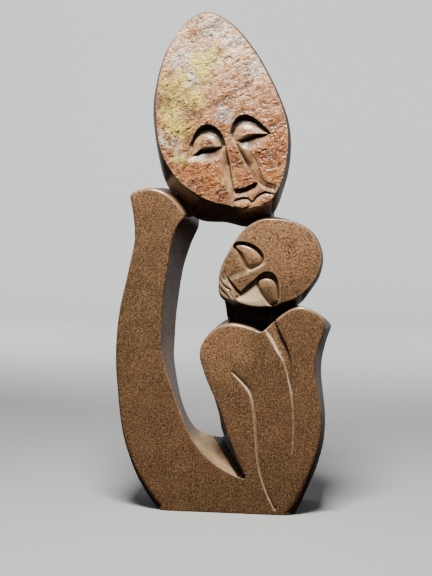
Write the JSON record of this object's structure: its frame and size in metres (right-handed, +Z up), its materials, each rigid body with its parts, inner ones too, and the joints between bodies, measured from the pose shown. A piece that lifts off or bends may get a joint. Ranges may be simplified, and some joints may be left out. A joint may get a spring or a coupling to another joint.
{
  "type": "carved stone mother and child figure",
  "caption": "Carved stone mother and child: a tall egg-shaped head rests on a curved upright and on the child's tilted head, above a knee and shoulder, with an open gap and a flat foot.",
  "frame": {"origin": "centre of the bounding box at the underside that the figure stands on", "axes": "+Z up, the carved faces look along -Y, +X to the viewer's right"},
  "size_m": [0.2362, 0.0954, 0.56],
  "materials": {
    "stone": "dark brown speckled serpentine, waxed to a satin, with rough orange-brown natural rind on the larger face"
  },
  "bodies": {
    "root": {"mother_and_child": "stone"}
  },
  "joints": []
}
